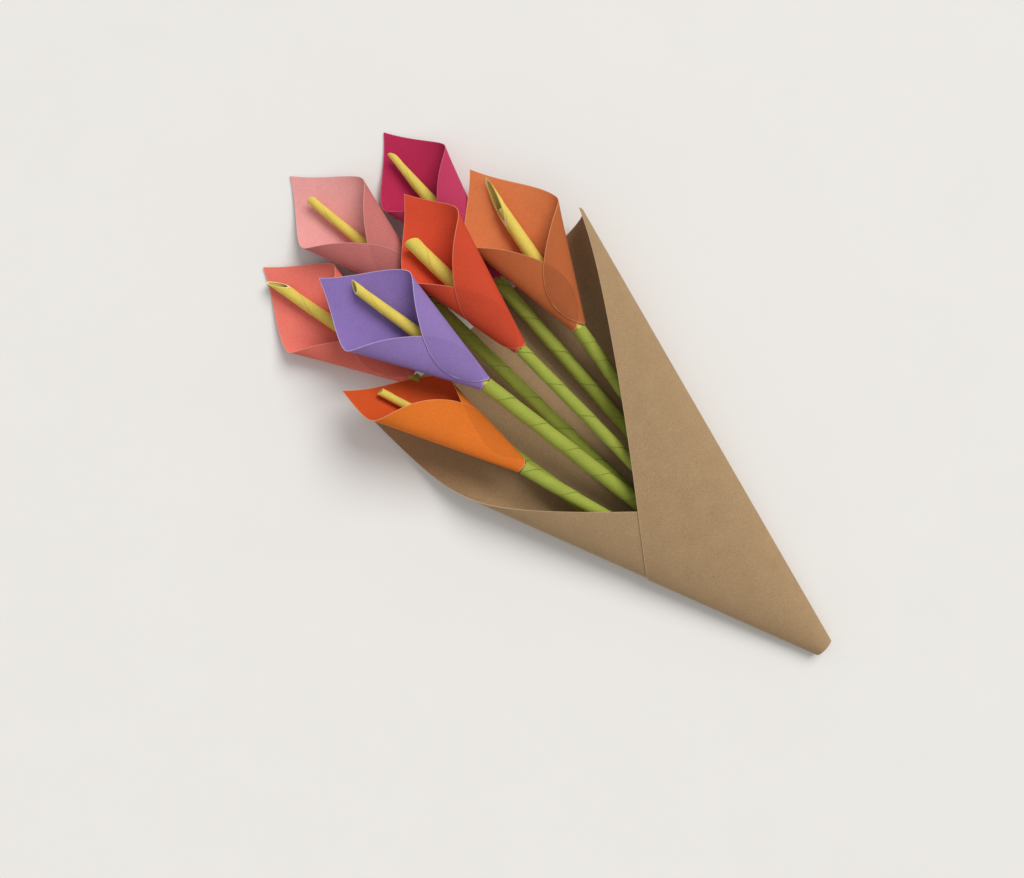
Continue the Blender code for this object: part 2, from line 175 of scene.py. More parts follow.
def mesh_points(mesh: bpy.types.Mesh) -> Array:
    """Return a mesh's points.

    Args:
        mesh: Mesh to be read.

    Returns:
        The points as an (n, 3) array.
    """
    points = np.empty(len(mesh.vertices) * 3, np.float32)
    mesh.vertices.foreach_get("co", points)
    return points.reshape(-1, 3).astype(float)


def set_points(mesh: bpy.types.Mesh, points: Array) -> None:
    """Move a mesh's points to an (n, 3) array."""
    mesh.vertices.foreach_set("co", np.ascontiguousarray(points, np.float32).ravel())
    mesh.update()


@dataclass(frozen=True)
class Pose:
    """A place and an axis (+Y), turned by a heading towards +X, a pitch upwards and a roll, in degrees."""

    place: tuple
    heading: float
    pitch: float
    roll: float = 0.0

    def move(self, points: Array) -> Array:
        """Return points of the piece's own frame in the frame outside it.

        Args:
            points: Points as an (n, 3) array, in the piece's own frame.

        Returns:
            The points, turned and then moved to the place.
        """
        angles = (math.radians(angle) for angle in (self.pitch, self.roll, -self.heading))
        turn = Euler(tuple(angles), "YXZ")
        return points @ np.array(turn.to_matrix()).T + np.array(self.place)


# The wrap's tip, with the wrap's flat back level on the table
BOUQUET = Pose((-0.0071369, -0.2235160, -0.0012277), 0.0, 0.2782)


# Rolled sheets


class Section:
    """A closed curve in the X-Z plane, read by turns: 0 is its start, and each turn goes once round."""

    def __init__(self, curve: Array) -> None:
        """Measure the curve.

        Args:
            curve: Points (x, z) of the closed curve, the first one not repeated.
        """
        self.closed = np.concatenate([curve, curve[:1]])
        steps = np.linalg.norm(np.diff(self.closed, axis=0), axis=1)
        self.along = np.concatenate([[0.0], np.cumsum(steps)])
        self.girth = float(self.along[-1])

    def at(self, turns: Array) -> Array:
        """Return the points at the given turns, evenly by length."""
        wanted = np.mod(turns, 1.0) * self.girth
        return np.stack([np.interp(wanted, self.along, self.closed[:, i]) for i in range(2)], axis=-1)

    def outward(self, turns: Array) -> Array:
        """Return the curve's unit normals, pointing out of it.

        Args:
            turns: Where the normals are wanted, in turns.

        Returns:
            Normals (x, z), the chord between two near points turned by a right angle.
        """
        along = self.at(turns + NORMAL_STEP) - self.at(turns - NORMAL_STEP)
        normal = np.stack([along[:, 1], -along[:, 0]], axis=-1)
        return normal / np.linalg.norm(normal, axis=1)[:, None]


@dataclass(frozen=True)
class Roll:
    """A flat sheet rolled into an open cone: straight rulings from a foot section to a mouth section."""

    foot: Section
    mouth: Section
    mouth_distance: float
    turn: float
    top: TopFlap
    flat_turns: float

    @property
    def angle_per_turn(self) -> float:
        """Return the angle in the flat sheet that goes once round the cone."""
        return (self.mouth.girth - self.foot.girth) / self.mouth_distance

    @property
    def foot_radius(self) -> float:
        """Return the distance in the flat sheet from the cone's apex to its foot section."""
        return self.foot.girth / self.angle_per_turn

    def points(self, angle: Array, radius: Array, lift: Array) -> Array:
        """Return the rolled sheet's points.

        A ruling runs from the foot section's point to the mouth section's point at the same turn,
        and a point lies on it as far from the foot as in the flat sheet. Layers one turn apart are
        moved LAYER_STEP apart along the mouth's normal, the top flap outwards.

        Args:
            angle: Angle of each column in the flat sheet, from its middle line.
            radius: Distance of each point from the apex in the flat sheet, [column][row].
            lift: Further distance of each point out of the surface, [column][row].

        Returns:
            Points, [column][row][x, y, z].
        """
        sheet_turns = angle / self.angle_per_turn
        turns = sheet_turns + self.turn
        foot = self.foot.at(turns)
        mouth = self.mouth.at(turns)
        start = np.stack([foot[:, 0], np.zeros(len(foot)), foot[:, 1]], axis=-1)
        end = np.stack([mouth[:, 0], np.full(len(foot), self.mouth_distance), mouth[:, 1]], axis=-1)
        direction = end - start
        direction /= np.linalg.norm(direction, axis=1)[:, None]
        from_foot = radius - self.foot_radius
        points = start[:, None, :] + from_foot[:, :, None] * direction[:, None, :]
        ramp = np.clip((np.abs(sheet_turns) - self.flat_turns) / (1.0 - 2.0 * self.flat_turns), 0.0, 1.0)
        layer = self.top.value * np.sign(sheet_turns) * LAYER_STEP * ramp
        normal = self.mouth.outward(turns)
        offset = layer[:, None] + lift
        points[:, :, 0] += normal[:, None, 0] * offset
        points[:, :, 2] += normal[:, None, 1] * offset
        return points


def sheet_mesh(name: str, points: Array, thickness: float) -> bpy.types.Mesh:
    """Return a closed sheet of even thickness round a grid of points.

    Each point is moved half the thickness along the grid's normal, the cross product of the
    steps to its neighbours, for one side, and against it for the other, and a strip of quads
    joins the two sides all round. The corners of that strip have the value 1 in "rim", and the
    points of the second side, the outer one of a rolled sheet, have 1 in "outside".

    Args:
        name: Name of the mesh.
        points: Middle of the sheet, [column][row][x, y, z].
        thickness: Thickness of the sheet.

    Returns:
        The mesh, its faces pointing outwards.
    """
    columns, rows = points.shape[:2]
    across = np.gradient(points, axis=0)
    along = np.gradient(points, axis=1)
    normal = np.cross(across, along)
    normal /= np.maximum(np.linalg.norm(normal, axis=2, keepdims=True), SHORTEST_NORMAL)
    sides = np.concatenate([points + normal * thickness / 2, points - normal * thickness / 2])
    index = np.arange(columns * rows).reshape(columns, rows)
    corners = [index[:-1, :-1], index[1:, :-1], index[1:, 1:], index[:-1, 1:]]
    quads = np.stack(corners, axis=-1).reshape(-1, 4)
    below = quads[:, ::-1] + columns * rows
    border = np.concatenate([index[:, 0], index[-1, 1:], index[-2::-1, -1], index[0, -2:0:-1]])
    following = np.roll(border, -1)
    rim = np.stack([border, border + columns * rows, following + columns * rows, following], axis=-1)
    faces = np.concatenate([quads, below, rim])
    mesh = bpy.data.meshes.new(name)
    mesh.from_pydata(sides.reshape(-1, 3), [], faces.tolist())
    is_rim = np.zeros(len(faces))
    is_rim[len(quads) + len(below):] = 1.0
    write_attribute(mesh, "rim", "CORNER", np.repeat(is_rim, 4))
    write_attribute(mesh, "outside", "POINT", np.repeat([0.0, 1.0], columns * rows))
    return mesh


@dataclass(frozen=True)
class Heart:
    """The flat heart-shaped sheet of a spathe: its tip at 0, its lobes at length.

    Each reach is how far a curve's handle stands off its end point: tip_reach and side_reach for the
    long side, lobe_reach and lobe_round for the lobe.
    """

    length: float = 0.121
    width: float = 0.087
    tip_half_angle: float = math.radians(34)
    tip_reach: float = 0.036
    side_reach: float = 0.043
    widest_from_tip: float = 0.080
    lobe_reach: float = 0.024
    lobe_round: float = 0.012
    lobe_from_axis: float = 0.010
    cleft: float = 0.004
    samples: int = 400

    def half_outline(self) -> Array:
        """Return half the outline, two Bezier curves that meet at the widest point.

        Returns:
            Points (from tip, from axis), from the tip round one lobe to the cleft.
        """
        half = self.width / 2
        handle = (
            self.tip_reach * math.cos(self.tip_half_angle),
            self.tip_reach * math.sin(self.tip_half_angle),
        )
        widest = (self.widest_from_tip, half)
        side = bezier((0, 0), handle, (widest[0] - self.side_reach, half), widest, self.samples)
        lobe = bezier(
            widest,
            (widest[0] + self.lobe_reach, half),
            (self.length, self.lobe_from_axis + 2 * self.lobe_round),
            (self.length, self.lobe_from_axis),
            self.samples,
        )
        return np.concatenate([side, lobe[1:], [(self.length - self.cleft, 0.0)]])


class PolarOutline:
    """Half a heart seen from the cone's apex: how near and how far the sheet reaches at an angle."""

    def __init__(self, outline: Array, apex_to_tip: float) -> None:
        """Turn the outline into angles and distances.

        Args:
            outline: Half outline as (from tip, from axis).
            apex_to_tip: Distance from the apex to the heart's tip in the flat sheet.
        """
        x = apex_to_tip - outline[:, 0]
        radius = np.hypot(x, outline[:, 1])
        angle = np.arctan2(outline[:, 1], x)
        turning = int(np.argmax(angle))
        self.widest = float(angle[turning])
        self._outer = (angle[: turning + 1], radius[: turning + 1])
        self._inner = (angle[turning:][::-1], radius[turning:][::-1])

    def outer(self, angle: Array) -> Array:
        """Return the distance of the far rim at an angle."""
        return np.interp(np.abs(angle), *self._outer)

    def inner(self, angle: Array) -> Array:
        """Return the distance of the near rim at an angle."""
        return np.interp(np.abs(angle), *self._inner)

    def depth_inside(self, angle: Array, radius: Array) -> Array:
        """Return how deep points lie inside the outline: the least way out, sideways or along a ruling.

        Args:
            angle: Angles from the sheet's middle line.
            radius: Distances from the cone's apex.

        Returns:
            Depths in metres, negative outside the outline.
        """
        sideways = (self.widest - np.abs(angle)) * radius
        ends = np.minimum(self.outer(angle) - radius, radius - self.inner(angle))
        return np.minimum(sideways, ends)


# Rolled tubes


@dataclass(frozen=True)
class RolledTube:
    """A tube of rolled paper along +Y, whose outermost edge is a helical lip.

    The radius and the wall are functions of y, and each end is a plane with an outward normal.
    """

    name: str
    start: float
    end: float
    radius: Callable[[Array], Array]
    wall: Callable[[Array], Array]
    seam_pitch: float
    winding: Winding
    lip: float
    start_normal: tuple
    end_normal: tuple
    sides: int = 40
    spans: int = 8
    seam_from: float = 0.965
    spare_radii: float = 4.0
    spare_turns: float = 1.5
    ring_spacing: float = 0.006
    bore_depth_share: float = 0.4

    @property
    def ends(self) -> tuple:
        """Return each end plane as the y of its middle and its outward normal."""
        return (self.start, self.start_normal), (self.end, self.end_normal)

    def lattice(self) -> tuple[Array, Array]:
        """Return the outer skin, longer than the tube at both ends.

        Row r of turn k lies at y = pitch * (k + share + column / sides), with the radius less
        lip * share, where share goes from 0 to 1 over a turn's rows, the last step of it a narrow
        one from seam_from. The last column joins the first one a whole turn further on, and the
        step from a turn's last row to the next turn's first row is the lip.

        Returns:
            The skin's points and its quads.
        """
        per_turn = self.spans + 1
        margin = self.spare_radii * float(np.max(self.radius(np.array([self.start, self.end]))))
        first = self.start - margin - self.spare_turns * self.seam_pitch
        turns = math.ceil((self.end + margin - first) / self.seam_pitch) + 1
        share = np.append(np.linspace(0.0, self.seam_from, self.spans), 1.0)
        row_y = (np.arange(turns)[:, None] + share[None, :]).ravel()
        row_drop = np.tile(share, turns)
        column = np.arange(self.sides) / self.sides
        y = first + self.seam_pitch * (row_y[None, :] + column[:, None])
        angle = self.winding.value * math.tau * column[:, None]
        size = self.radius(np.clip(y, self.start, self.end)) - self.lip * row_drop[None, :]
        points = np.stack([size * np.sin(angle), y, size * np.cos(angle)], axis=-1)
        rows = len(row_y)
        index = np.arange(self.sides * rows).reshape(self.sides, rows)
        plain = np.stack([index[:-1, :-1], index[1:, :-1], index[1:, 1:], index[:-1, 1:]], axis=-1)
        last, ahead = index[-1, : rows - per_turn], index[0, per_turn:]
        joined = np.stack([last[:-1], ahead[:-1], ahead[1:], last[1:]], axis=-1)
        return points.reshape(-1, 3), np.concatenate([plain.reshape(-1, 4), joined])

    def bore_points(self) -> Array:
        """Return the bore's rings, circles of the radius less the wall.

        Returns:
            Points, [ring][side][x, y, z], the first and last rings lying in the end planes.
        """
        rings = max(2, int((self.end - self.start) / self.ring_spacing))
        angle = math.tau * np.arange(self.sides) / self.sides
        y = np.linspace(self.start, self.end, rings)[:, None] * np.ones(self.sides)[None, :]
        size = self.radius(y) - self.wall(y)
        for ring, (_, normal) in zip((0, -1), self.ends):
            across = size[ring] * (np.sin(angle) * normal[0] + np.cos(angle) * normal[2])
            y[ring] = y[ring] - across / normal[1]
        return np.stack([size * np.sin(angle), y, size * np.cos(angle)], axis=-1)

    def mesh(self) -> bpy.types.Mesh:
        """Return the tube: the skin cut off at both end planes, the bore and the end rings.

        Corners of the end rings have the value 1 in "rim", points just below the lip have 1 in
        "seam", and the bore's points have 1 in "inside".

        Returns:
            The closed mesh, its faces pointing outwards.
        """
        points, quads = self.lattice()
        rough = bpy.data.meshes.new(self.name)
        rough.from_pydata(points, [], quads.tolist())
        bm = bmesh.new()
        bm.from_mesh(rough)
        planes = [(Vector((0, y, 0)), Vector(normal)) for y, normal in self.ends]
        for point, normal in planes:
            bmesh.ops.bisect_plane(
                bm,
                geom=list(bm.verts) + list(bm.edges) + list(bm.faces),
                dist=CUT_TOLERANCE,
                plane_co=point,
                plane_no=normal,
                clear_outer=True,
            )
        bore = self.bore_points()
        rings, sides = bore.shape[:2]
        bore_index = np.arange(rings * sides).reshape(rings, sides)
        after = np.roll(bore_index, -1, axis=1)
        bore_quads = np.stack([bore_index[:-1], bore_index[1:], after[1:], after[:-1]], axis=-1)
        inner = bpy.data.meshes.new(self.name + "_bore")
        inner.from_pydata(bore.reshape(-1, 3), [], bore_quads.reshape(-1, 4).tolist())
        bm.from_mesh(inner)
        for point, normal in planes:
            border = [edge for edge in bm.edges if edge.is_boundary]
            rim = [
                edge
                for edge in border
                if all(abs((vert.co - point).dot(normal)) < PLANE_TOLERANCE for vert in edge.verts)
            ]
            bmesh.ops.triangle_fill(bm, use_beauty=True, use_dissolve=False, edges=rim, normal=normal)
        bmesh.ops.recalc_face_normals(bm, faces=bm.faces)
        bm.to_mesh(rough)
        bm.free()
        bpy.data.meshes.remove(inner)
        self._mark(rough)
        return rough

    def _mark(self, mesh: bpy.types.Mesh) -> None:
        """Write the attributes rim, seam and inside, from each point's distance to the tube's axis.

        Args:
            mesh: The tube's mesh.
        """
        points = mesh_points(mesh)
        size = np.hypot(points[:, 0], points[:, 2])
        skin, wall = self.radius(points[:, 1]), self.wall(points[:, 1])
        drop = (skin - size) / self.lip
        bore = size < skin - self.lip - self.bore_depth_share * (wall - self.lip)
        write_attribute(mesh, "seam", "POINT", smooth_step(self.seam_from, 1.0, drop) * ~bore)
        write_attribute(mesh, "inside", "POINT", bore.astype(float))
        flat = np.zeros(len(points), bool)
        for y, normal in self.ends:
            distance = (points - (0, y, 0)) @ np.asarray(normal)
            flat |= np.abs(distance) < PLANE_TOLERANCE
        corner_point = np.empty(len(mesh.loops), np.int32)
        mesh.loops.foreach_get("vertex_index", corner_point)
        starts = np.empty(len(mesh.polygons), np.int32)
        mesh.polygons.foreach_get("loop_start", starts)
        all_flat = np.minimum.reduceat(flat[corner_point].astype(np.int8), starts)
        write_attribute(mesh, "rim", "CORNER", face_values_to_corners(mesh, all_flat.astype(float)))


# Materials


def new_group(name: str, inputs: dict, outputs: dict) -> bpy.types.NodeTree:
    """Return an empty shader node group with named sockets.

    Args:
        name: Name of the group.
        inputs: Input names, each with its default value.
        outputs: Output names, each with its socket type.

    Returns:
        The group, with its input and output nodes named "in" and "out".
    """
    group = bpy.data.node_groups.new(name, "ShaderNodeTree")
    for label, default in inputs.items():
        kind = "NodeSocketFloat" if isinstance(default, float) else "NodeSocketColor"
        socket = group.interface.new_socket(label, in_out="INPUT", socket_type=kind)
        socket.default_value = default
    for label, kind in outputs.items():
        group.interface.new_socket(label, in_out="OUTPUT", socket_type=kind)
    group.nodes.new("NodeGroupInput").name = "in"
    group.nodes.new("NodeGroupOutput").name = "out"
    return group


def noise_node(
    tree: bpy.types.NodeTree, coordinates: bpy.types.NodeSocket, scale: float, detail: float
) -> bpy.types.Node:
    """Add a 3-D noise texture.

    Args:
        tree: Node tree that takes the node.
        coordinates: The socket that the noise reads.
        scale: Features to a metre.
        detail: Number of finer layers.

    Returns:
        The noise node.
    """
    noise = tree.nodes.new("ShaderNodeTexNoise")
    noise.inputs["Scale"].default_value = scale
    noise.inputs["Detail"].default_value = detail
    noise.inputs["Roughness"].default_value = NOISE_ROUGHNESS
    tree.links.new(coordinates, noise.inputs["Vector"])
    return noise


def math_node(
    tree: bpy.types.NodeTree, operation: str, first: object, second: object
) -> bpy.types.NodeSocket:
    """Add a Math node and return its output.

    Args:
        tree: Node tree that takes the node.
        operation: Blender's name of the operation.
        first: A socket or a number.
        second: A socket or a number.

    Returns:
        The node's value output.
    """
    node = tree.nodes.new("ShaderNodeMath")
    node.operation = operation
    for slot, value in enumerate((first, second)):
        if isinstance(value, bpy.types.NodeSocket):
            tree.links.new(value, node.inputs[slot])
        else:
            node.inputs[slot].default_value = value
    return node.outputs[0]


def mix_colours(
    tree: bpy.types.NodeTree, factor: object, first: object, second: object, blend: str = "MIX"
) -> bpy.types.NodeSocket:
    """Add a colour Mix node and return its output.

    Args:
        tree: Node tree that takes the node.
        factor: A socket or a number, 0 for the first colour.
        first: A socket or a colour.
        second: A socket or a colour.
        blend: Blender's name of the blending.

    Returns:
        The node's colour output.
    """
    node = tree.nodes.new("ShaderNodeMix")
    node.data_type = "RGBA"
    node.blend_type = blend
    for label, value in (("Factor_Float", factor), ("A_Color", first), ("B_Color", second)):
        socket = next(s for s in node.inputs if s.identifier == label)
        if isinstance(value, bpy.types.NodeSocket):
            tree.links.new(value, socket)
        elif isinstance(value, (int, float)):
            socket.default_value = value
        else:
            socket.default_value = (*value, 1.0)
    return next(s for s in node.outputs if s.identifier == "Result_Color")


def toned_colour(
    tree: bpy.types.NodeTree, colour: object, tone: bpy.types.NodeSocket
) -> bpy.types.NodeSocket:
    """Multiply a colour by one tone in all three channels.

    Args:
        tree: Node tree that takes the nodes.
        colour: A socket or a colour.
        tone: The tone's socket, 1 for the colour as it is.

    Returns:
        The toned colour's output.
    """
    grey = tree.nodes.new("ShaderNodeCombineColor")
    for channel in ("Red", "Green", "Blue"):
        tree.links.new(tone, grey.inputs[channel])
    return mix_colours(tree, 1.0, colour, grey.outputs["Color"], "MULTIPLY")


class PaperGroups:
    """The shader node groups that every paper finish shares.

    The scales are features to a metre, and fibres above fleck_level are flecks.
    """

    fine_scale: float = 1500.0
    fibre_scale: float = 1700.0
    cloud_scale: float = 90.0
    fibre_lie: tuple = (0.3, 0.2, 0.7)
    fibre_stretch: tuple = (1.0, 0.35, 1.0)
    fleck_level: float = 0.72

    def __init__(self) -> None:
        """Build the groups once."""
        self.grain = self._grain()
        self.layers = self._layers()

    def _grain(self) -> bpy.types.NodeTree:
        """Return the paper grain: fine fibres, soft mottling and a bump height.

        Tone is 1 plus the two fibre noises' sum less 1, times Fibre, plus the cloudy noise less a
        half, times Cloud, less Fleck where the stretched fibres are above the fleck level.

        Returns:
            The group, which puts out Tone and Height.
        """
        group = new_group(
            "paper_grain",
            {"Fibre": 0.1, "Cloud": 0.1, "Fleck": 0.0},
            {"Tone": "NodeSocketFloat", "Height": "NodeSocketFloat"},
        )
        entry, leave = group.nodes["in"], group.nodes["out"]
        where = group.nodes.new("ShaderNodeTexCoord").outputs["Object"]
        stretch = group.nodes.new("ShaderNodeMapping")
        stretch.inputs["Rotation"].default_value = self.fibre_lie
        stretch.inputs["Scale"].default_value = self.fibre_stretch
        group.links.new(where, stretch.inputs["Vector"])
        fine = noise_node(group, where, self.fine_scale, 3.0)
        fibre = noise_node(group, stretch.outputs["Vector"], self.fibre_scale, 2.0)
        cloud = noise_node(group, where, self.cloud_scale, 3.0)
        fibres = math_node(group, "ADD", fine.outputs["Fac"], fibre.outputs["Fac"])
        centred = math_node(group, "SUBTRACT", fibres, 1.0)
        soft = math_node(group, "SUBTRACT", cloud.outputs["Fac"], 0.5)
        above = math_node(group, "GREATER_THAN", fibre.outputs["Fac"], self.fleck_level)
        tone = math_node(group, "MULTIPLY", centred, entry.outputs["Fibre"])
        clouds = math_node(group, "MULTIPLY", soft, entry.outputs["Cloud"])
        tone = math_node(group, "ADD", tone, clouds)
        flecks = math_node(group, "MULTIPLY", above, entry.outputs["Fleck"])
        tone = math_node(group, "SUBTRACT", tone, flecks)
        group.links.new(math_node(group, "ADD", tone, 1.0), leave.inputs["Tone"])
        group.links.new(fibres, leave.inputs["Height"])
        return group

    def _layers(self) -> bpy.types.NodeTree:
        """Return the layering: painted shade where two layers of paper overlap, pale on cut edges.

        Colour is Paper times Tone times 1 less the larger of Overlap times Overlap Shade and Shade,
        and Edge takes its place by the share Cut.

        Returns:
            The group, which puts out Colour.
        """
        white = (1.0, 1.0, 1.0, 1.0)
        group = new_group(
            "paper_layers",
            {
                "Paper": white,
                "Edge": white,
                "Tone": 1.0,
                "Overlap": 0.0,
                "Overlap Shade": 0.1,
                "Cut": 0.0,
                "Shade": 0.0,
            },
            {"Colour": "NodeSocketColor"},
        )
        entry, leave = group.nodes["in"], group.nodes["out"]
        # Painted shade where two flaps overlap, for the light that one layer of thin paper lets through and
        # two layers hold back
        dark = math_node(group, "MULTIPLY", entry.outputs["Overlap"], entry.outputs["Overlap Shade"])
        darker = math_node(group, "MAXIMUM", dark, entry.outputs["Shade"])
        light = math_node(group, "SUBTRACT", 1.0, darker)
        tone = math_node(group, "MULTIPLY", entry.outputs["Tone"], light)
        body = toned_colour(group, entry.outputs["Paper"], tone)
        colour = mix_colours(group, entry.outputs["Cut"], body, entry.outputs["Edge"])
        group.links.new(colour, leave.inputs["Colour"])
        return group


@dataclass(frozen=True)
class PaperFinish:
    """A matt paper: its colour, its paler cut edge, its back and the strength of its grain.

    The back is the outer side of a rolled sheet, and a paper without it has one colour.
    """

    name: str
    colour: Colour
    edge: Colour
    back: Colour | None = None
    fibre: float = 0.34
    cloud: float = 0.16
    fleck: float = 0.0
    # Strength of the painted shade where two flaps overlap, standing in for light that shines through one
    # layer of thin paper
    overlap_shade: float = 0.12
    roughness: float = 0.82
    specular: float = 0.25
    bump: float = 0.22
    bump_distance: float = 0.0002
    seam_shade: float = 0.55
    inside_shade: float = 0.35
    edge_strength: float = 0.6

    def material(self, groups: PaperGroups) -> bpy.types.Material:
        """Return the finish as a material.

        It reads the attributes rim, edge, lap and outside of a sheet, and seam and inside of a tube.

        Args:
            groups: The shared node groups.

        Returns:
            The material.
        """
        material = bpy.data.materials.new(self.name)
        material.use_nodes = True
        tree = material.node_tree
        shader = tree.nodes["Principled BSDF"]
        shader.inputs["Roughness"].default_value = self.roughness
        shader.inputs["Specular IOR Level"].default_value = self.specular
        grain = tree.nodes.new("ShaderNodeGroup")
        grain.node_tree = groups.grain
        grain.inputs["Fibre"].default_value = self.fibre
        grain.inputs["Cloud"].default_value = self.cloud
        grain.inputs["Fleck"].default_value = self.fleck
        layers = tree.nodes.new("ShaderNodeGroup")
        layers.node_tree = groups.layers
        layers.inputs["Paper"].default_value = (*self.colour, 1.0)
        if self.back:
            paper = mix_colours(tree, self._attribute(tree, "outside"), self.colour, self.back)
            tree.links.new(paper, layers.inputs["Paper"])
        layers.inputs["Edge"].default_value = (*self.edge, 1.0)
        layers.inputs["Overlap Shade"].default_value = self.overlap_shade
        tree.links.new(grain.outputs["Tone"], layers.inputs["Tone"])
        tree.links.new(self._attribute(tree, "lap"), layers.inputs["Overlap"])
        worn = math_node(tree, "MULTIPLY", self._attribute(tree, "edge"), self.edge_strength)
        cut = math_node(tree, "MAXIMUM", self._attribute(tree, "rim"), worn)
        tree.links.new(cut, layers.inputs["Cut"])
        seam = math_node(tree, "MULTIPLY", self._attribute(tree, "seam"), self.seam_shade)
        inside = math_node(tree, "MULTIPLY", self._attribute(tree, "inside"), self.inside_shade)
        tree.links.new(math_node(tree, "MAXIMUM", seam, inside), layers.inputs["Shade"])
        tree.links.new(layers.outputs["Colour"], shader.inputs["Base Color"])
        bump = tree.nodes.new("ShaderNodeBump")
        bump.inputs["Strength"].default_value = self.bump
        bump.inputs["Distance"].default_value = self.bump_distance
        tree.links.new(grain.outputs["Height"], bump.inputs["Height"])
        tree.links.new(bump.outputs["Normal"], shader.inputs["Normal"])
        return material

    @staticmethod
    def _attribute(tree: bpy.types.NodeTree, name: str) -> bpy.types.NodeSocket:
        """Return the value of a mesh attribute.

        Args:
            tree: Node tree that takes the node.
            name: Name of the attribute.

        Returns:
            The value's socket, 0 on a mesh without the attribute.
        """
        node = tree.nodes.new("ShaderNodeAttribute")
        node.attribute_name = name
        return node.outputs["Fac"]


# Sub-assemblies


def add_object(name: str, data: bpy.types.ID) -> bpy.types.Object:
    """Put an object into the scene.

    Args:
        name: Name of the object.
        data: Its mesh, light or camera.

    Returns:
        The new object, at the origin.
    """
    added = bpy.data.objects.new(name, data)
    bpy.context.scene.collection.objects.link(added)
    return added


def dress(name: str, mesh: bpy.types.Mesh, finish: bpy.types.Material, slot: str) -> bpy.types.Object:
    """Make a finished mesh a shown piece that stands for the solid of the same name.

    Args:
        name: Name of the solid's node.
        mesh: The finished mesh, in the part's frame.
        finish: Its material.
        slot: Not used.

    Returns:
        The new object.
    """
    mesh.shade_smooth()
    mesh.set_sharp_from_angle(angle=SHARP_ANGLE)
    mesh.materials.append(finish)
    piece = add_object(name + "_paper", mesh)
    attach(piece, ROOT)
    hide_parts(name)
    points = mesh_points(mesh)
    low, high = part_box(name)
    grown = max(np.max(np.array(low) - points.min(0)), np.max(points.max(0) - np.array(high)))
    LOG.info("%s: %d points, at most %.2f mm outside its solid's box", name, len(points), grown * 1000)
    return piece


@dataclass(frozen=True)
class Spathe:
    """The heart-shaped sheet, rolled round the flower's foot.

    free_depth gives how deep a point lies inside the other flap where it curls and waves fully, and
    where it doesn't any more. edge_soft is the share of edge_band that is fully edge.
    """

    mouth_half_width: float
    mouth_depth: float
    turn: float
    top: TopFlap
    curl: float = 0.0004
    curl_reach: float = 0.016
    wave: float = 0.0003
    wave_turn: float = 5.0
    wave_phase: float = 0.0
    heart: Heart = field(default_factory=Heart)
    foot_radius: float = 0.0037
    mouth_distance: float = 0.084
    flat_turns: float = 0.1
    columns: int = 181
    rows: int = 56
    end_share: float = 0.9998
    lap_blur: float = 0.0004
    free_depth: tuple = (-0.012, 0.004)
    edge_band: float = 0.0007
    edge_band_share: float = 0.2
    edge_soft: float = 0.25

    @property
    def floor_slope(self) -> float:
        """Return the slope of the rolled sheet's floor, from its foot's radius to its mouth's depth."""
        return (self.mouth_depth - self.foot_radius) / self.mouth_distance

    def mesh(self, name: str) -> bpy.types.Mesh:
        """Return the rolled heart, with 1 in "lap" where its two flaps overlap.

        The columns are rulings at angles between the heart's widest ones, the mean of an even
        share and its sine, so that they lie closer at the sides. The rows share each ruling from
        the near rim to the far rim, closer together within edge_band of a rim. The far rim curls
        out by the square of the share of curl_reach, and a sine wave runs across, growing with
        the square of the distance from the foot. Both fade where the flaps overlap. "edge" is 1
        along the whole outline.

        Args:
            name: Name of the mesh.

        Returns:
            The closed sheet, in the flower's own frame.
        """
        roll = Roll(
            Section(ellipse(self.foot_radius, self.foot_radius)),
            Section(ellipse(self.mouth_half_width, self.mouth_depth)),
            self.mouth_distance,
            self.turn / 360.0,
            self.top,
            self.flat_turns,
        )
        outline = PolarOutline(self.heart.half_outline(), roll.foot_radius + self.heart.length)
        share = np.linspace(-1.0, 1.0, self.columns)
        angle = outline.widest * self.end_share * 0.5 * (share + np.sin(share * math.pi / 2))
        near, far = outline.inner(angle), outline.outer(angle)
        span = (far - near)[:, None]
        band = np.minimum(self.edge_band, self.edge_band_share * span)
        middle = np.linspace(0.0, 1.0, self.rows)[None, :]
        rim_and_half_band = np.array([[0.0, 0.5]])
        radius = np.concatenate(
            [
                near[:, None] + band * rim_and_half_band,
                near[:, None] + band + (span - 2 * band) * middle,
                far[:, None] - band * rim_and_half_band[:, ::-1],
            ],
            axis=1,
        )
        partner = roll.angle_per_turn - np.abs(angle)[:, None]
        under_partner = outline.depth_inside(partner, radius)
        lap = smooth_step(0.0, self.lap_blur, under_partner)
        free = 1.0 - smooth_step(*self.free_depth, under_partner)
        to_rim = far[:, None] - radius
        curl = self.curl * np.clip(1.0 - to_rim / self.curl_reach, 0.0, 1.0) ** 2 * free
        reach = np.clip((radius - roll.foot_radius) / self.heart.length, 0.0, 1.0) ** 2
        phase = self.wave_turn * angle[:, None] / outline.widest + self.wave_phase
        wave = self.wave * np.sin(phase) * reach * free
        mesh = sheet_mesh(name, roll.points(angle, radius, curl + wave), CRAFT_THICKNESS)
        from_rim = outline.depth_inside(angle[:, None], radius) / self.edge_band
        edge = 1.0 - smooth_step(self.edge_soft, 1.0, from_rim)
        write_attribute(mesh, "lap", "POINT", np.tile(lap.ravel(), 2))
        write_attribute(mesh, "edge", "POINT", np.tile(edge.ravel(), 2))
        return mesh


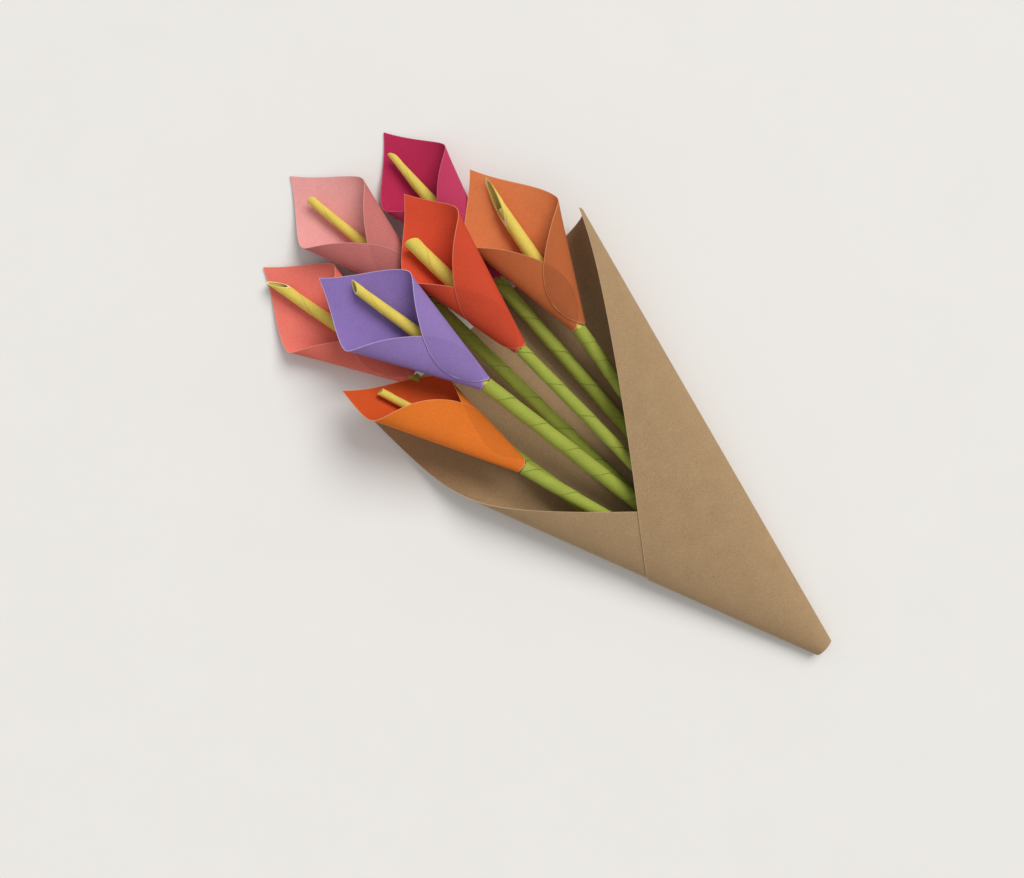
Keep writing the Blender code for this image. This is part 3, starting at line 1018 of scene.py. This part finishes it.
@dataclass(frozen=True)
class Spadix:
    """The yellow rolled tube: a foot in the stem, a wider belly and a slanted open end.

    cut is the end's slant from square, cut_side the side it faces, from the top towards +X, and
    lean the tube's own heading in the spathe, all in degrees. sag is the share of the room under
    the tube that it sinks by.
    """

    length: float
    tip_radius: float
    belly_radius: float
    cut: float
    cut_side: float
    lean: float
    seam_pitch: float = 0.045
    lip: float = 0.0003
    foot_length: float = 0.014
    foot_radius: float = 0.0022
    waist_radius: float = 0.0027
    belly_share: float = 0.35
    wall: float = 0.0005
    sag: float = 0.8

    def radius(self, y: Array) -> Array:
        """Return the tube's radius, straight lines between foot, waist, belly and tip.

        Args:
            y: Places along the tube, 0 at the flower's foot.

        Returns:
            The radius at each place.
        """
        stations = (-self.foot_length, 0.0, self.belly_share * self.length, self.length)
        sizes = (self.foot_radius, self.waist_radius, self.belly_radius, self.tip_radius)
        return np.interp(y, stations, sizes)

    def mesh(self, name: str, floor_slope: float) -> bpy.types.Mesh:
        """Return the tube, bent sideways by its lean and settled towards the spathe's floor.

        A point sinks by sag times the room under it, which is floor_slope times its distance
        from the foot, less what the tube has grown since its waist.

        Args:
            name: Name of the mesh.
            floor_slope: Slope of the spathe's floor below the tube's axis.

        Returns:
            The closed tube, in the flower's own frame.
        """
        side, cut = math.radians(self.cut_side), math.radians(self.cut)
        normal = (math.sin(cut) * math.sin(side), math.cos(cut), math.sin(cut) * math.cos(side))
        tube = RolledTube(
            name,
            -self.foot_length,
            self.length,
            self.radius,
            lambda y: np.full_like(y, self.lip + self.wall),
            self.seam_pitch,
            Winding.RIGHT,
            self.lip,
            (0.0, -1.0, 0.0),
            normal,
        )
        mesh = tube.mesh()
        points = mesh_points(mesh)
        free = np.maximum(points[:, 1], 0.0)
        room = floor_slope * free - (self.radius(points[:, 1]) - self.waist_radius)
        points[:, 0] += math.tan(math.radians(self.lean)) * free
        points[:, 2] -= np.maximum(0.0, self.sag * room)
        set_points(mesh, points)
        return mesh


@dataclass(frozen=True)
class Stem:
    """The green tube, rolled on the diagonal, so that its edge winds round it."""

    length: float
    seam_turns: float
    radius: float = 0.0043
    top: float = 0.0022
    bore: float = 0.0033
    lip: float = 0.0003

    def mesh(self, name: str) -> bpy.types.Mesh:
        """Return the tube from its cut end to its top, which reaches up round the flower's foot.

        Args:
            name: Name of the mesh.

        Returns:
            The closed tube, in the stem's own frame.
        """
        tube = RolledTube(
            name,
            -self.length,
            self.top,
            lambda y: np.full_like(y, self.radius),
            lambda y: np.full_like(y, self.radius - self.bore),
            (self.length + self.top) / self.seam_turns,
            Winding.LEFT,
            self.lip,
            (0.0, -1.0, 0.0),
            (0.0, 1.0, 0.0),
        )
        return tube.mesh()


@dataclass(frozen=True)
class Flower:
    """One calla lily: spathe, spadix and stem on one foot."""

    name: str
    head: Pose
    stem_heading: float
    spathe: Spathe
    spadix: Spadix
    stem: Stem
    finish: PaperFinish

    def build(self, groups: PaperGroups, yellow: bpy.types.Material, green: bpy.types.Material) -> None:
        """Build and dress the flower's three pieces.

        Args:
            groups: The shared node groups.
            yellow: Material of the spadix.
            green: Material of the stem.
        """
        tail = Pose(self.head.place, self.stem_heading, self.head.pitch)
        petal = self.finish.material(groups)
        spathe, spadix, stem = (f"{self.name}_{piece}" for piece in ("spathe", "spadix", "stem"))
        work = (
            (spathe, self.spathe.mesh(spathe), self.head, petal, self.name + "_paper"),
            (spadix, self.spadix.mesh(spadix, self.spathe.floor_slope), self.head, yellow, "yellow_paper"),
            (stem, self.stem.mesh(stem), tail, green, "green_paper"),
        )
        for node, mesh, pose, material, slot in work:
            set_points(mesh, BOUQUET.move(pose.move(mesh_points(mesh))))
            dress(node, mesh, material, slot)


@dataclass(frozen=True)
class Wrap:
    """The kraft sheet, rolled into a flattened cone round the stems.

    The half widths are those at the tip's end and at the mouth's end of the flat sheet. Each round
    gives how far two handles of the mouth's section reach, across and up, as shares of its sides.
    The wave is calm up to the first angle of calm_angles and full from the second.
    """

    length: float = 0.297
    left_half: tuple = (0.110, 0.110)
    right_half: tuple = (0.122, 0.098)
    tip_radius: float = 0.0060
    mouth_half_width: float = 0.101
    mouth_height: float = 0.052
    mouth_side_height: float = 0.022
    mouth_flat_half_width: float = 0.055
    lower_round: tuple = (0.86, 0.35)
    upper_round: tuple = (0.55, 0.85)
    curve_points: int = 200
    turn: float = 20.0
    back_turns: float = 0.08
    flap_turns: float = 0.84
    flat_turns: float = 0.2
    columns: int = 130
    back_columns: int = 30
    rows: int = 90
    wave: float = 0.0005
    wave_angle_rate: float = 9.0
    wave_length_rate: float = 30.0
    wave_reach: float = 1.2
    calm_angles: tuple = (0.35, 0.7)
    edge_band: float = 0.0007

    def mouth_outline(self) -> Array:
        """Return the section at the mouth: flat on the table, rounded sides, an arched front.

        Returns:
            Points (x, z) of the closed section, two Bezier curves and their mirror image.
        """
        half, side, height = self.mouth_half_width, self.mouth_side_height, self.mouth_height
        flat_end, side_end, top = (self.mouth_flat_half_width, 0), (half, side), (0, height)
        across, up = self.lower_round
        lower = bezier(flat_end, (across * half, 0), (half, up * side), side_end, self.curve_points)
        across, up = self.upper_round
        upper = bezier(side_end, (half, up * height), (across * half, height), top, self.curve_points)
        right = np.concatenate([[(0.0, 0.0)], lower, upper[1:]])
        left = right[1:-1][::-1] * (-1.0, 1.0)
        return np.concatenate([right, left])

    def half_rulings(
        self, halves: tuple, near: float, far: float, first: float, limit: float
    ) -> tuple[Array, Array]:
        """Return one half's rulings, from the flat back's edge outwards.

        A ruling ends at the far edge until its angle reaches the sheet's corner, and beyond that
        at the long edge, a straight line between the two half widths.

        Args:
            halves: Half width at the tip's end and at the mouth's end.
            near: Distance from the cone's apex to the tip's end.
            far: Distance from the apex to the mouth's end.
            first: Angle of the flat back's edge.
            limit: Angle at which the half ends if its long edge runs further.

        Returns:
            The angles and the distances from the apex at which the rulings end.
        """
        corner = math.atan2(halves[1], far)
        last = min(math.atan2(halves[0], near), limit)
        angle = np.linspace(first, last, self.columns)
        angle[np.argmin(np.abs(angle - corner))] = corner
        lean = (halves[1] - halves[0]) / (far - near)
        start = halves[0] - lean * near
        steep = angle > corner
        length = far / np.cos(np.minimum(angle, corner))
        length[steep] = start / (np.sin(angle[steep]) - lean * np.cos(angle[steep]))
        return angle, length

    def mesh(self, name: str) -> bpy.types.Mesh:
        """Return the rolled sheet: the left rulings, the flat back, then the right rulings.

        The last row of each ruling is its end, edge_band past the row before, with 1 in "edge".

        Args:
            name: Name of the mesh.

        Returns:
            The closed sheet, in the wrap's own frame.
        """
        tip = ellipse(self.tip_radius, self.tip_radius) + (0.0, self.tip_radius + LAYER_STEP)
        roll = Roll(
            Section(tip),
            Section(self.mouth_outline()),
            self.length,
            self.turn / 360.0,
            TopFlap.RIGHT,
            self.flat_turns,
        )
        per_turn, near = roll.angle_per_turn, roll.foot_radius
        far = near + self.length
        shift = self.turn / 360.0 * per_turn
        flat, end = self.back_turns * per_turn, self.flap_turns * per_turn
        left = self.half_rulings(self.left_half, near, far, flat + shift, end + shift)
        right = self.half_rulings(self.right_half, near, far, flat - shift, end - shift)
        angle = np.concatenate([-left[0][::-1], right[0]])
        length = np.concatenate([left[1][::-1], right[1]])
        share = np.linspace(0.0, 1.0, self.rows)
        inner = near + (length - near - self.edge_band)[:, None] * share[None, :]
        radius = np.concatenate([inner, length[:, None]], axis=1)
        points = roll.points(angle, radius, self.undulation(angle, radius, near))
        middle = self.columns
        across = np.linspace(0.0, 1.0, self.back_columns + 2)[1:-1, None, None]
        back = points[middle - 1] * (1.0 - across) + points[middle] * across
        points = np.concatenate([points[:middle], back, points[middle:]])
        mesh = sheet_mesh(name, points, KRAFT_THICKNESS)
        edge = np.zeros(points.shape[:2])
        edge[:, -1] = 1.0
        write_attribute(mesh, "edge", "POINT", np.tile(edge.ravel(), 2))
        return mesh

    def undulation(self, angle: Array, radius: Array, near: float) -> Array:
        """Return a slow sine wave across the sheet that grows with the square of the distance.

        Args:
            angle: Angle of each ruling from the sheet's middle line.
            radius: Distance of each point from the cone's apex, [ruling][row].
            near: Distance from the apex to the tip's end.

        Returns:
            How far each point is moved out of the surface, [ruling][row].
        """
        reach = np.clip((radius - near) / self.length, 0.0, self.wave_reach) ** 2
        strength = smooth_step(*self.calm_angles, np.abs(angle))[:, None]
        phase = self.wave_angle_rate * angle[:, None] + self.wave_length_rate * radius
        return self.wave * np.sin(phase) * reach * strength

    def build(self, groups: PaperGroups, finish: PaperFinish) -> None:
        """Build and dress the wrap.

        Args:
            groups: The shared node groups.
            finish: The wrap's paper.
        """
        mesh = self.mesh("kraft_wrap")
        set_points(mesh, BOUQUET.move(mesh_points(mesh)))
        dress("kraft_wrap", mesh, finish.material(groups), "kraft_paper")


# Finishes: name, colour, cut edge and back

KRAFT = PaperFinish(
    "kraft_paper",
    (0.392, 0.256, 0.134),
    (0.62, 0.47, 0.32),
    (0.372, 0.243, 0.126),
    fibre=0.50,
    cloud=0.22,
    fleck=0.12,
    roughness=0.78,
)
GREEN = PaperFinish("green_paper", (0.335, 0.385, 0.056), (0.55, 0.62, 0.22), cloud=0.30, seam_shade=0.5)
YELLOW = PaperFinish("yellow_paper", (0.760, 0.590, 0.108), (0.86, 0.78, 0.36), cloud=0.26, seam_shade=0.35)
MAGENTA = PaperFinish("magenta_paper", (0.460, 0.017, 0.076), (0.66, 0.14, 0.26), (0.480, 0.036, 0.105))
PINK = PaperFinish("pink_paper", (0.800, 0.345, 0.330), (0.80, 0.45, 0.42), (0.560, 0.170, 0.155))
LIGHT_ORANGE = PaperFinish(
    "light_orange_paper",
    (0.670, 0.185, 0.060),
    (0.82, 0.42, 0.22),
    (0.470, 0.120, 0.034),
    # The light orange paper has a deeper painted shade where its flaps overlap
    overlap_shade=0.20,
)
CORAL = PaperFinish("coral_paper", (0.680, 0.070, 0.025), (0.86, 0.30, 0.20), (0.570, 0.060, 0.021))
SALMON = PaperFinish("salmon_paper", (0.830, 0.190, 0.145), (0.86, 0.40, 0.32), (0.720, 0.155, 0.110))
PURPLE = PaperFinish("purple_paper", (0.250, 0.160, 0.440), (0.66, 0.58, 0.82), (0.270, 0.180, 0.450))
ORANGE = PaperFinish("orange_paper", (0.620, 0.080, 0.012), (0.86, 0.40, 0.18), (0.680, 0.158, 0.014))

# The salmon spathe is cut a little smaller than the others
SMALL_HEART = Heart(length=0.1205, width=0.0845)


def bouquet_flowers() -> tuple[Flower, ...]:
    """Return the seven flowers.

    Returns:
        The flowers, from the bottom of the stack upwards.
    """
    return (
        Flower(
            "magenta",
            Pose((0.0335, 0.3028, 0.0121), heading=8.0, pitch=1.91),
            stem_heading=6.8,
            spathe=Spathe(0.0270, 0.0120, turn=12.0, top=TopFlap.RIGHT, wave_phase=0.4),
            spadix=Spadix(0.1040, 0.0022, 0.0058, cut=55, cut_side=140, lean=0.0),
            stem=Stem(0.190, seam_turns=7),
            finish=MAGENTA,
        ),
        Flower(
            "pink",
            Pose((-0.0035, 0.3263, 0.0131), heading=-0.2, pitch=2.18),
            stem_heading=2.0,
            spathe=Spathe(0.0286, 0.0130, turn=0.0, top=TopFlap.LEFT, wave_phase=1.7),
            spadix=Spadix(0.0985, 0.0028, 0.0040, cut=35, cut_side=160, lean=-1.5),
            stem=Stem(0.193, seam_turns=7),
            finish=PINK,
        ),
        Flower(
            "light_orange",
            Pose((0.0439, 0.2453, 0.0238), heading=15.9, pitch=4.48),
            stem_heading=12.5,
            spathe=Spathe(0.0330, 0.0112, turn=-8.0, top=TopFlap.RIGHT, wave_phase=2.9),
            spadix=Spadix(0.0960, 0.0036, 0.0054, cut=77, cut_side=-55, lean=-1.0),
            stem=Stem(0.185, seam_turns=14),
            finish=LIGHT_ORANGE,
        ),
        Flower(
            "salmon",
            Pose((-0.0467, 0.3014, 0.0123), heading=-8.1, pitch=0.78),
            stem_heading=-5.0,
            spathe=Spathe(0.0320, 0.0104, turn=11.0, top=TopFlap.RIGHT, wave_phase=4.0, heart=SMALL_HEART),
            spadix=Spadix(0.1050, 0.0036, 0.0041, cut=65, cut_side=60, lean=1.0),
            stem=Stem(0.214, seam_turns=8),
            finish=SALMON,
        ),
        Flower(
            "orange",
            Pose((-0.0416, 0.2139, 0.0262), heading=-8.4, pitch=5.26, roll=35.0),
            stem_heading=-11.2,
            spathe=Spathe(0.0275, 0.0120, turn=-35.0, top=TopFlap.LEFT, wave_phase=5.1),
            spadix=Spadix(0.1000, 0.0026, 0.0030, cut=15, cut_side=0, lean=-3.5),
            stem=Stem(0.218, seam_turns=8),
            finish=ORANGE,
        ),
        Flower(
            "coral",
            Pose((0.0104, 0.2631, 0.0316), heading=6.3, pitch=5.14),
            stem_heading=3.3,
            spathe=Spathe(0.0250, 0.0140, turn=22.0, top=TopFlap.RIGHT, wave_phase=0.9),
            spadix=Spadix(0.0940, 0.0046, 0.0050, cut=30, cut_side=150, lean=-3.8),
            stem=Stem(0.188, seam_turns=7, radius=0.0040),
            finish=CORAL,
        ),
        Flower(
            "purple",
            Pose((-0.0193, 0.2646, 0.0339), heading=-7.5, pitch=8.38),
            stem_heading=-4.1,
            spathe=Spathe(0.0310, 0.0112, turn=-8.0, top=TopFlap.RIGHT, wave_phase=2.2),
            spadix=Spadix(0.1000, 0.0031, 0.0044, cut=50, cut_side=-60, lean=2.0),
            stem=Stem(0.157, seam_turns=6.3, radius=0.0048),
            finish=PURPLE,
        ),
    )


# Studio


@dataclass(frozen=True)
class Studio:
    """The table, the light and the camera of a view from straight above.

    image_right is the direction on the table that points to the right of the view, and the angles
    are in degrees. The backdrop is what the camera sees of the room past the table.
    """

    floor_size: float = 60.0
    floor_colour: Colour = (0.850, 0.833, 0.803)
    floor_roughness: float = 0.6
    floor_specular: float = 0.2
    floor_cloud_scale: float = 12.0
    floor_cloud: float = 0.03
    view_centre: tuple = (-0.0407869, 0.0089840)
    camera_height: float = 0.9002
    half_frame_pixels: float = 512.0
    focal_pixels: float = 1428.6
    image_right: tuple = (0.668, -0.744)
    lamp_heading: float = 4.0
    lamp_elevation: float = 51.0
    lamp_spread: float = 36.0
    lamp_strength: float = 1.95
    lamp_colour: Colour = (1.0, 0.985, 0.96)
    world_colour: Colour = (0.985, 0.99, 1.0)
    world_strength: float = 0.50
    backdrop_strength: float = 0.86

    def build(self) -> None:
        """Add the table, the lamp, the world and the camera."""
        self._floor()
        self._lamp()
        self._world()
        self._camera()

    def _floor(self) -> None:
        """Lay the pale table top, with faint mottling."""
        half = self.floor_size / 2
        corners = [(-half, -half, 0), (half, -half, 0), (half, half, 0), (-half, half, 0)]
        mesh = bpy.data.meshes.new("table_top")
        mesh.from_pydata(corners, [], [(0, 1, 2, 3)])
        floor = add_object("table_top", mesh)
        material = bpy.data.materials.new("table_top")
        material.use_nodes = True
        tree = material.node_tree
        shader = tree.nodes["Principled BSDF"]
        shader.inputs["Roughness"].default_value = self.floor_roughness
        shader.inputs["Specular IOR Level"].default_value = self.floor_specular
        where = tree.nodes.new("ShaderNodeTexCoord").outputs["Object"]
        cloud = noise_node(tree, where, self.floor_cloud_scale, 4.0)
        centred = math_node(tree, "SUBTRACT", cloud.outputs["Fac"], 0.5)
        soft = math_node(tree, "MULTIPLY", centred, self.floor_cloud)
        tone = math_node(tree, "ADD", soft, 1.0)
        tree.links.new(toned_colour(tree, self.floor_colour, tone), shader.inputs["Base Color"])
        mesh.materials.append(material)

    def _lamp(self) -> None:
        """Add one wide soft light from the +X side, even over the whole table."""
        data = bpy.data.lights.new("window_light", "SUN")
        data.angle = math.radians(self.lamp_spread)
        data.energy = self.lamp_strength
        data.color = self.lamp_colour
        lamp = add_object("window_light", data)
        heading, lift = math.radians(self.lamp_heading), math.radians(self.lamp_elevation)
        level = math.cos(lift)
        towards = Vector((level * math.cos(heading), level * math.sin(heading), math.sin(lift)))
        lamp.location = towards
        lamp.rotation_euler = towards.to_track_quat("Z", "Y").to_euler()

    def _world(self) -> None:
        """Fill the room with even light, and show a pale backdrop past the table."""
        world = bpy.data.worlds.new("room")
        world.use_nodes = True
        tree = world.node_tree
        background = tree.nodes["Background"]
        background.inputs["Color"].default_value = (*self.world_colour, 1.0)
        path = tree.nodes.new("ShaderNodeLightPath")
        seen = math_node(tree, "MAXIMUM", path.outputs["Is Camera Ray"], path.outputs["Is Glossy Ray"])
        seen = math_node(tree, "MAXIMUM", seen, path.outputs["Is Transmission Ray"])
        more = math_node(tree, "MULTIPLY", seen, self.backdrop_strength - self.world_strength)
        tree.links.new(math_node(tree, "ADD", more, self.world_strength), background.inputs["Strength"])
        bpy.context.scene.world = world

    def _camera(self) -> None:
        """Point the camera straight down, its image turned to have the flowers at the upper left."""
        data = bpy.data.cameras.new("camera")
        data.sensor_fit = "HORIZONTAL"
        data.angle = 2 * math.atan(self.half_frame_pixels / self.focal_pixels)
        camera = add_object("camera", data)
        camera.location = (*self.view_centre, self.camera_height)
        camera.rotation_euler = (0.0, 0.0, math.atan2(self.image_right[1], self.image_right[0]))
        bpy.context.scene.camera = camera


def main() -> None:
    """Build the bouquet and its studio around the frame."""
    logging.basicConfig(level=logging.INFO, format="%(message)s")
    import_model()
    view = bpy.context.scene.view_settings
    view.view_transform = "Standard"
    groups = PaperGroups()
    yellow, green = YELLOW.material(groups), GREEN.material(groups)
    Wrap().build(groups, KRAFT)
    for flower in bouquet_flowers():
        flower.build(groups, yellow, green)
    Studio().build()


if __name__ == "__main__":
    main()
